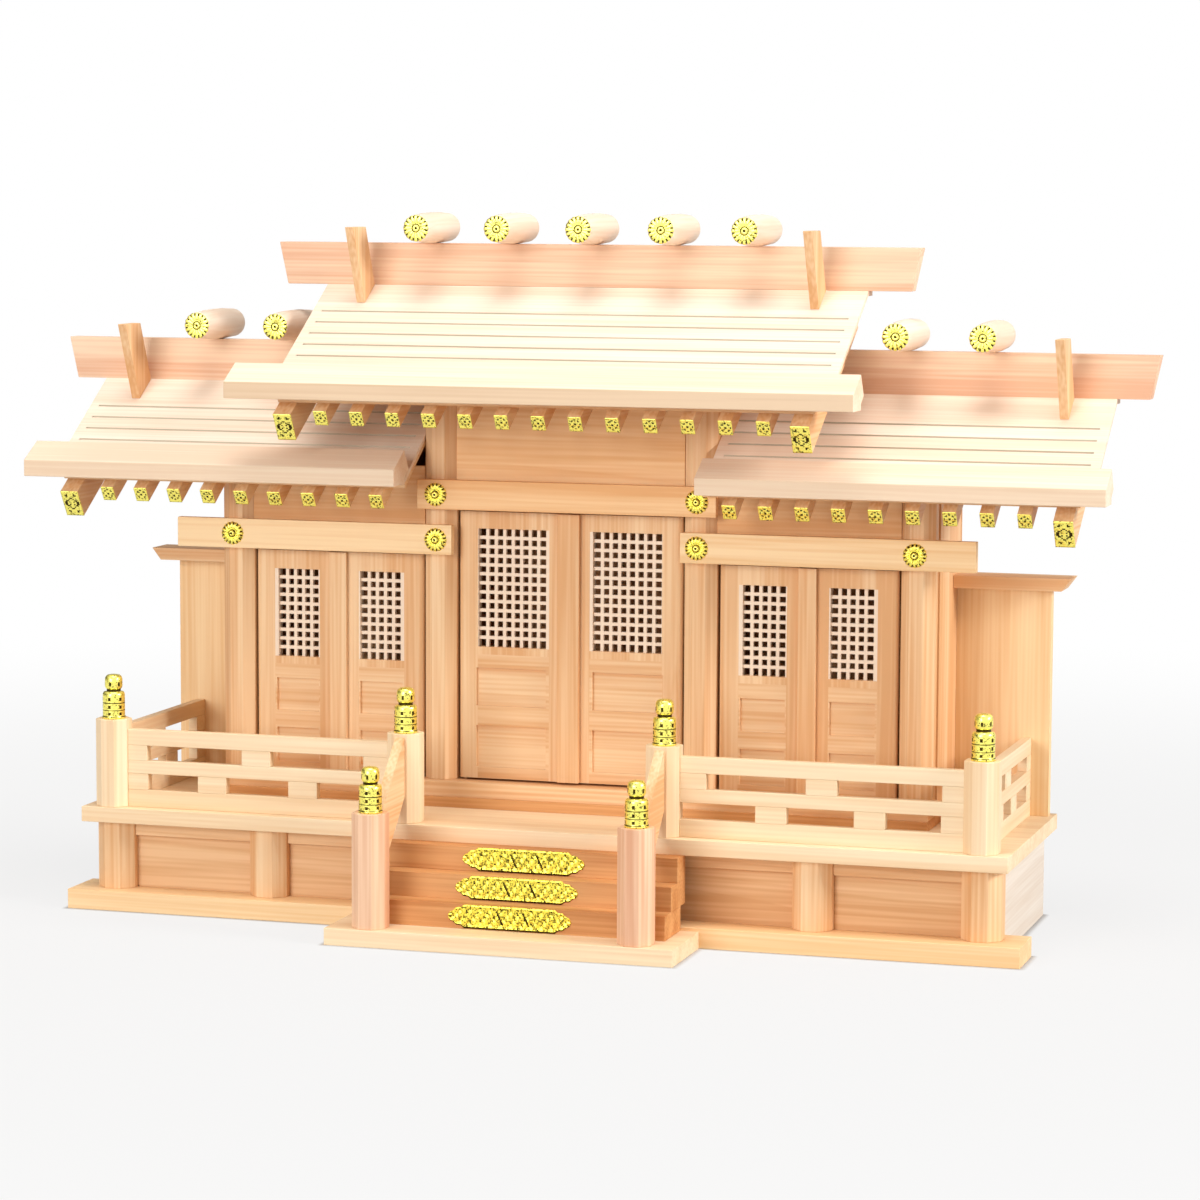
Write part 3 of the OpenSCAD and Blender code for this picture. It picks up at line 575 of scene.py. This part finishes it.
# Radius and height of a blossom, as shares, from its rim to its middle
BLOSSOM_LINE = [(1.0, 0.0), (1.0, 0.1), (0.97, 0.42), (0.9, 0.62), (0.78, 0.8), (0.62, 0.93),
                (0.46, 0.9), (0.34, 0.66), (0.27, 0.6), (0.24, 0.95), (0.17, 1.1), (0.09, 1.08),
                (0.075, 0.75), (0.0, 0.72)]
# Radius within which a blossom is a plain boss, and from which its outline is scalloped
BOSS, SCALLOPED = 0.3, 0.5
# Rows of the line above between which the petals part, with painted shade in the partings, and rows
# that get painted shade all round
PARTED, DARK_RING, DARK_MIDDLE = (1, 3), 7, 11
ROSETTE_HIGH, LOG_CAP_HIGH = 2.0 * MM, 0.6 * MM


def blossom(sheet, centre, radius, depth):
    """A pressed round plate that faces the front, with petals round a boss."""
    wide = PETALS * PETAL_STEPS
    rows = []
    for r, h in BLOSSOM_LINE:
        row = []
        for j in range(wide):
            turn = 2 * math.pi * j / wide
            lobe = abs(math.cos(PETALS / 2 * turn)) ** BLUNT
            out = h * depth * (1 if r < BOSS else PETAL_RELIEF[0] + PETAL_RELIEF[1] * lobe)
            reach = radius * r * (1 if r < SCALLOPED else PETAL_REACH[0] + PETAL_REACH[1] * lobe)
            row.append((centre[0] + reach * math.cos(turn), centre[1] - out,
                        centre[2] + reach * math.sin(turn)))
        rows.append(row)

    def dark(i, j):
        gap = j % PETAL_STEPS in (2, 3) and PARTED[0] <= i <= PARTED[1]
        return gap or i == DARK_RING or i >= DARK_MIDDLE
    sheet.grid(rows, True, dark)


def make_rosettes():
    sheet = Sheet()
    for points, _ in islands("rosettes"):
        lo, hi, middle = span(points)
        blossom(sheet, (middle[0], hi[1], middle[2]), (hi[0] - lo[0]) / 2, ROSETTE_HIGH)
    sheet.piece("rosette_plates", "shrine", "rosettes")


# Stamped rafter caps: cells across, thickness, and where the raised rim begins
CAP_CELLS, CAP_THICK, CAP_RIM = 12, 0.5 * MM, 0.84
# Height of the field inside the rim, and what its pattern adds, as shares of the thickness
CAP_FIELD = (0.45, 0.5)
# The round caps have more points than this, and the long ones are this many times as tall as wide
ROUND_CAP_POINTS, LONG_CAP = 12, 1.4
# A face of a cap points to the front if its normal's y is below this
CAP_FRONT = -0.7


def stamped(sheet, centre, normal, width, height, pattern):
    """A thin plate with a raised rim and an embossed field, on the end of a rafter. pattern gives
    the height and darkness at a place of the field."""
    across = Vector((1, 0, 0))
    up = across.cross(-normal).normalized()
    up_cells = max(CAP_CELLS, int(round(CAP_CELLS * height / width)))

    def at(u, v, out):
        return tuple(centre + across * (u * width / 2) + up * (v * height / 2)
                     + normal * (out - CAP_THICK))

    def edge(u, v):
        """How near a place is to the rim, which is 1."""
        return max(abs(u), abs(v * height / width) - (height / width - 1))

    def rise(u, v):
        if edge(u, v) > CAP_RIM:
            return CAP_THICK
        return CAP_THICK * (CAP_FIELD[0] + CAP_FIELD[1] * pattern(u, v * height / width)[0])
    us = [-1 + 2 * i / CAP_CELLS for i in range(CAP_CELLS + 1)]
    vs = [-1 + 2 * i / up_cells for i in range(up_cells + 1)]

    def dark(i, j):
        u, v = (us[j] + us[j + 1]) / 2, (vs[i] + vs[i + 1]) / 2
        return edge(u, v) < CAP_RIM and pattern(u, v * height / width)[1]
    sheet.grid([[at(u, v, rise(u, v)) for u in us] for v in vs], False, dark)
    ring = ([(u, -1) for u in us] + [(1, v) for v in vs[1:]] + [(u, 1) for u in reversed(us[:-1])]
            + [(-1, v) for v in reversed(vs[1:-1])])
    sheet.grid([[at(u, v, out) for u, v in ring] for out in (CAP_THICK, 0.0)], True)


# Radii of a small flower: between its petals, what a petal adds, its ground and its eye, both with
# painted shade
FLOWER_IN, FLOWER_PETAL, FLOWER_GROUND, FLOWER_EYE = 0.3, 0.45, 0.78, 0.16
# Two flowers: the height of their middles, and how much smaller they are across and upwards
FLOWERS_APART, FLOWERS_SMALLER = 0.72, (1.05, 1.25)
# Place and radius of the dots beside them
DOT_PLACE, DOT_RADIUS = (0.62, 0.06), 0.17


def four_petals(u, v):
    """Height and darkness of a small four-petalled flower."""
    r, turn = math.hypot(u, v), math.atan2(v, u)
    petal = abs(math.cos(2 * turn)) ** 0.5
    inside = r < FLOWER_IN + FLOWER_PETAL * petal
    return (petal if inside else 0.0), (not inside and r < FLOWER_GROUND) or r < FLOWER_EYE


def two_flowers(u, v):
    """Height and darkness of two small flowers, one over the other, with dots beside them."""
    height, dark = four_petals(u * FLOWERS_SMALLER[0],
                               (abs(v) - FLOWERS_APART) * FLOWERS_SMALLER[1])
    dot = math.hypot(abs(u) - DOT_PLACE[0], abs(v) - DOT_PLACE[1]) < DOT_RADIUS
    return height, dark or dot


def make_end_caps():
    """Round caps on the ridge logs and stamped ones on the rafters."""
    sheet = Sheet()
    for points, faces in islands("gold_caps"):
        lo, hi, middle = span(points)
        width = hi[0] - lo[0]
        if len(points) > ROUND_CAP_POINTS:
            blossom(sheet, (middle[0], hi[1], middle[2]), width / 2, LOG_CAP_HIGH)
            continue
        fronts = [face for face in faces if face[1].y < CAP_FRONT]
        total = sum(area for area, _, _ in fronts)
        centre = sum((place * (area / total) for area, _, place in fronts), Vector())
        height = total / width
        pattern = two_flowers if height > LONG_CAP * width else four_petals
        stamped(sheet, centre, fronts[0][1].normalized(), width, height, pattern)
    sheet.piece("end_caps", "shrine", "gold_caps")


# Outline of a turned cap: radius and height in mm, and how it looks up to the next line
PLAIN, BAND, DOTS = 0, 1, 2
TURNED_LINE = [
    (0.0, 0.0, PLAIN), (6.1, 0.0, PLAIN), (6.1, 1.0, BAND), (5.8, 1.4, PLAIN), (5.8, 1.9, DOTS),
    (5.8, 3.5, PLAIN), (5.8, 4.3, BAND), (5.8, 4.7, PLAIN), (5.8, 5.4, DOTS), (5.8, 7.2, PLAIN),
    (5.8, 8.1, BAND), (5.8, 8.6, PLAIN), (5.8, 9.5, DOTS), (5.8, 11.3, PLAIN),
    (5.8, 12.4, PLAIN), (5.7, 13.2, PLAIN), (5.2, 14.0, PLAIN), (3.8, 14.3, BAND),
    (3.6, 14.6, BAND), (3.7, 15.4, BAND), (4.0, 15.7, PLAIN), (4.4, 16.3, PLAIN),
    (4.6, 17.2, DOTS), (4.6, 19.4, PLAIN), (4.6, 20.6, PLAIN), (4.2, 22.0, PLAIN),
    (3.2, 22.9, PLAIN), (1.6, 23.2, PLAIN), (0.0, 23.2, PLAIN)]
TURNED_SIDES = 48
# Every DOT_STEP sides there is a dot of DOT_WIDE sides, moved round by DOT_SHIFT
DOT_STEP, DOT_WIDE, DOT_SHIFT = 8, 2, 5


def make_post_caps():
    sheet = Sheet()

    def dark(i, j):
        kind = TURNED_LINE[i][2]
        return kind == BAND or kind == DOTS and (j + DOT_SHIFT) % DOT_STEP < DOT_WIDE
    for points, _ in islands("post_caps"):
        lo, _, (x, y, _) = span(points)
        rows = []
        for r, h, _ in TURNED_LINE:
            rows.append([(x + r * MM * math.cos(a), y + r * MM * math.sin(a), lo[2] + h * MM)
                         for a in (2 * math.pi * j / TURNED_SIDES for j in range(TURNED_SIDES))])
        sheet.grid(rows, True, dark)
    sheet.piece("turned_caps", "shrine", "post_caps")


# Half outline of a stair plate in mm: distance from the middle, half height
PLATE_LINE = ((0, 24, 25.4, 28, 29.6, 31.6, 32.3), (6, 6, 4.6, 4.4, 2.8, 2, 0.1))
PLATE_STEPS, PLATE_LEVELS = 128, 14
# Rim of a plate as shares of its half height and half length, and its height in mm
PLATE_RIM, PLATE_TIP, PLATE_RIM_HIGH = 0.84, 0.985, 0.55
# Middles of the slots, their half width and slant, and how far up they go
SLOTS, SLOT_HALF, SLOT_SLANT, SLOT_TALL = (-0.16, 0.27), 0.018, 0.09, 0.6
# The lower edge gets a painted shadow below the first, and the hollows between the leaves get
# painted shade below the second
PAINTED_LOWER_SHADOW, HOLLOW = -0.86, -0.8
# Height of the hollows in mm, and how much higher the leaves are
HOLLOW_HIGH, LEAF_HIGH = 0.18, 0.4
# Leaves: waves along the plate, waves up it, and how much these lean
LEAVES_ALONG, LEAVES_UP, LEAVES_LEAN = 57, 5.5, 19


def leaf_wave(s, v):
    """Leaves along a stem, from -1 in the hollows to 1."""
    return math.sin(s * LEAVES_ALONG) * math.sin(v * LEAVES_UP + s * LEAVES_LEAN)


def make_stair_plates():
    """Long pressed plates with scalloped ends, a stem of leaves and two slanting slots."""
    sheet = Sheet(STAMPED)

    def dark(i, k):
        s, v = -1 + 2 * (i + 0.5) / PLATE_STEPS, -1 + 2 * (k + 0.5) / PLATE_LEVELS
        slot = abs(v) < SLOT_TALL and any(abs(s - at + SLOT_SLANT * v) < SLOT_HALF for at in SLOTS)
        return slot or v < PAINTED_LOWER_SHADOW or leaf_wave(s, v) < HOLLOW and abs(v) < PLATE_RIM
    for points, _ in islands("stair_ornaments"):
        lo, hi, middle = span(points)
        back, half, tall = hi[1], (hi[0] - lo[0]) / 2, (hi[2] - lo[2]) / 2
        rows = []
        for i in range(PLATE_STEPS + 1):
            s = -1 + 2 * i / PLATE_STEPS
            reach = float(np.interp(abs(s) * PLATE_LINE[0][-1], *PLATE_LINE)) / PLATE_LINE[1][0]
            row = []
            for k in range(PLATE_LEVELS + 1):
                v = -1 + 2 * k / PLATE_LEVELS
                rise = HOLLOW_HIGH + LEAF_HIGH * (0.5 + 0.5 * leaf_wave(s, v))
                if abs(v) > PLATE_RIM or abs(s) > PLATE_TIP:
                    rise = PLATE_RIM_HIGH
                row.append((middle[0] + s * half, back - rise * MM, middle[2] + v * tall * reach))
            rows.append(row)
        sheet.grid(rows, False, dark)
        rim = ([r[0] for r in rows] + rows[-1][1:] + [r[-1] for r in reversed(rows[:-1])]
               + list(reversed(rows[0][1:-1])))
        sheet.grid([rim, [(p[0], back, p[2]) for p in rim]], True)
    sheet.piece("stair_plates", "shrine", "stair_ornaments")


# Stage

AMBIENT = 0.4
# Direction of the bright side that the metal mirrors, and its light from dark to bright
BRIGHT_SIDE = (0.62, -0.25, 0.74)
STUDIO = {"From Min": -0.35, "From Max": 0.45, "To Min": 0.05, "To Max": 1.3}

LAMP_TARGET = (0, 0, 0.15)
# Name, place and diameter in metres, power in watts
LAMPS = (("overhead", (0.1, -0.6, 3.2), 1.8, 52),
         ("right", (4.6, -0.6, 2.0), 1.6, 190),
         ("front", (-1.3, -4.2, 1.2), 2.4, 108))

# The floor's half width and the distances between which it fades, in metres
FLOOR_REACH, FADE_FROM, FADE_TO = 30, 0.4, 1.3
FLOOR_COLOUR = (0.5, 0.49, 0.48, 1)
# Share of the floor's own white near the shrine, its strength there, and how much less far off
FLOOR_GLOW, FLOOR_WHITE, FLOOR_DROP = 0.75, 1.02, 0.02
# Width of the dark line where the shrine stands on the floor, partly real shade and partly painted
# shade as the floor's own white gives way there, and the nodes that stand there
CONTACT_SHADE_WIDTH = 4 * MM
STANDING = ("stair_plate", "front_sill", "base_sides")


def surround():
    """White to the camera, a soft even light for the wood, and a studio with a dark side to be
    seen in the metal."""
    world = bpy.data.worlds.new("studio")
    SCENE.world = world
    world.use_nodes = True
    t = Tree(world.node_tree)
    path = t.node("ShaderNodeLightPath").outputs
    facing = t.vector("DOT_PRODUCT", t.coordinates("Generated"), BRIGHT_SIDE)
    studio = t.node("ShaderNodeMapRange", {"Value": facing, **STUDIO}).outputs[0]
    strength = t.blend(path["Is Glossy Ray"], AMBIENT, studio)
    strength = t.math("MAXIMUM", strength, path["Is Camera Ray"])
    light = t.node("ShaderNodeBackground", {"Color": WHITE, "Strength": strength})
    t.node("ShaderNodeOutputWorld", {"Surface": light.outputs[0]})


def lamp(name, place, size, power):
    data = bpy.data.lights.new(name, "AREA")
    data.shape = "DISK"
    data.size = size
    data.energy = power
    made = add_object(name, data)
    made.location = place
    aim = Vector(LAMP_TARGET) - Vector(place)
    made.rotation_euler = aim.to_track_quat("-Z", "Y").to_euler()


def footprint(t, point, node):
    """Distance on the floor from the box of a node that stands on it."""
    lo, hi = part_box(node)
    middle = ((lo.x + hi.x) / 2, (lo.y + hi.y) / 2, 0)
    half = ((hi.x - lo.x) / 2, (hi.y - lo.y) / 2, 1)
    off = t.vector("ABSOLUTE", t.vector("SUBTRACT", point, middle))
    return t.vector("LENGTH", t.vector("MAXIMUM", t.vector("SUBTRACT", off, half)))


def floor():
    """A plain pale floor that fades into the white background."""
    mesh = bpy.data.meshes.new("floor")
    corners = ((-1, -1), (1, -1), (1, 1), (-1, 1))
    mesh.from_pydata([(x * FLOOR_REACH, y * FLOOR_REACH, 0) for x, y in corners], [],
                     [(0, 1, 2, 3)])
    made = add_object("floor", mesh)
    material, t = new_material("floor")
    path = t.node("ShaderNodeLightPath").outputs
    seen = t.math("MAXIMUM", path["Is Camera Ray"], path["Is Glossy Ray"])
    lit = t.node("ShaderNodeBsdfDiffuse", {"Color": FLOOR_COLOUR})
    point = t.coordinates()
    fade = t.smooth(t.vector("LENGTH", point), FADE_FROM, FADE_TO)
    share = t.math("MULTIPLY_ADD", fade, 1.0 - FLOOR_GLOW, FLOOR_GLOW)
    gaps = [footprint(t, point, node) for node in STANDING]
    gap = t.math("MINIMUM", t.math("MINIMUM", gaps[0], gaps[1]), gaps[2])
    # Near the footprints the floor's own white fades out: painted contact shade, with the real
    # shadow showing through
    share = t.math("MULTIPLY", share, t.smooth(gap, 0.0, CONTACT_SHADE_WIDTH))
    tone = t.math("MULTIPLY_ADD", fade, -FLOOR_DROP, FLOOR_WHITE)
    white = t.node("ShaderNodeEmission", {"Color": WHITE, "Strength": tone})
    both = t.node("ShaderNodeMixShader", {0: t.math("MULTIPLY", seen, share),
                                          1: lit.outputs[0], 2: white.outputs[0]})
    t.node("ShaderNodeOutputMaterial", {"Surface": both.outputs[0]})
    mesh.materials.append(material)


make_camera()
surround()
floor()
for settings in LAMPS:
    lamp(*settings)
dress_boards()
make_rosettes()
make_end_caps()
make_post_caps()
make_stair_plates()

SCENE.view_settings.view_transform = "Standard"
